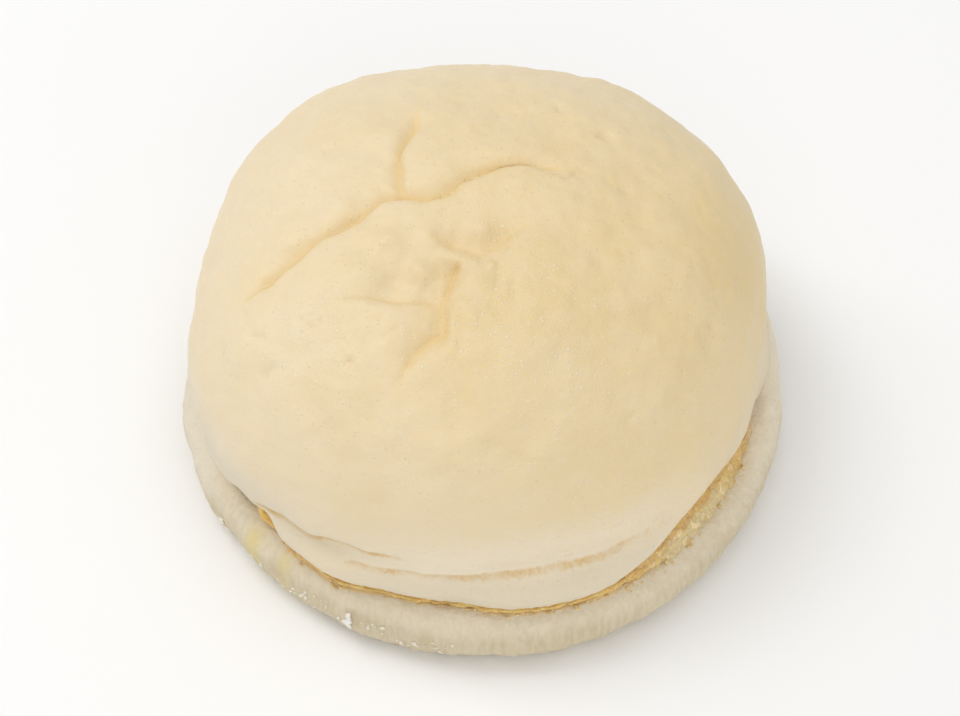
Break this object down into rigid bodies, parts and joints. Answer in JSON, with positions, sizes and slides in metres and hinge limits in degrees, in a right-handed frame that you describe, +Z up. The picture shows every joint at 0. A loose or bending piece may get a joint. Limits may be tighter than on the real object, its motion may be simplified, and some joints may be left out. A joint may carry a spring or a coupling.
{
  "type": "custard bun",
  "caption": "Pale soft bun in two halves with a custard layer: a domed top with a creased crown and a folded front edge on a thick rounded base.",
  "frame": {"origin": "centre of the bounding box in plan, at the height of the flat underside", "axes": "+Z up through the crown, -Y towards the folded front where the slit shows, +X towards the side where the slit gapes"},
  "size_m": [0.0947, 0.096, 0.0539],
  "materials": {
    "bread_base": "matte, soft pale bread with a crumbly rim",
    "bread_top": "matte to satin, smooth thin bread skin",
    "custard": "moist yellow custard"
  },
  "bodies": {
    "root": {"bun_base": "bread_base", "bun_top": "bread_top", "custard_filling": "custard"}
  },
  "joints": []
}
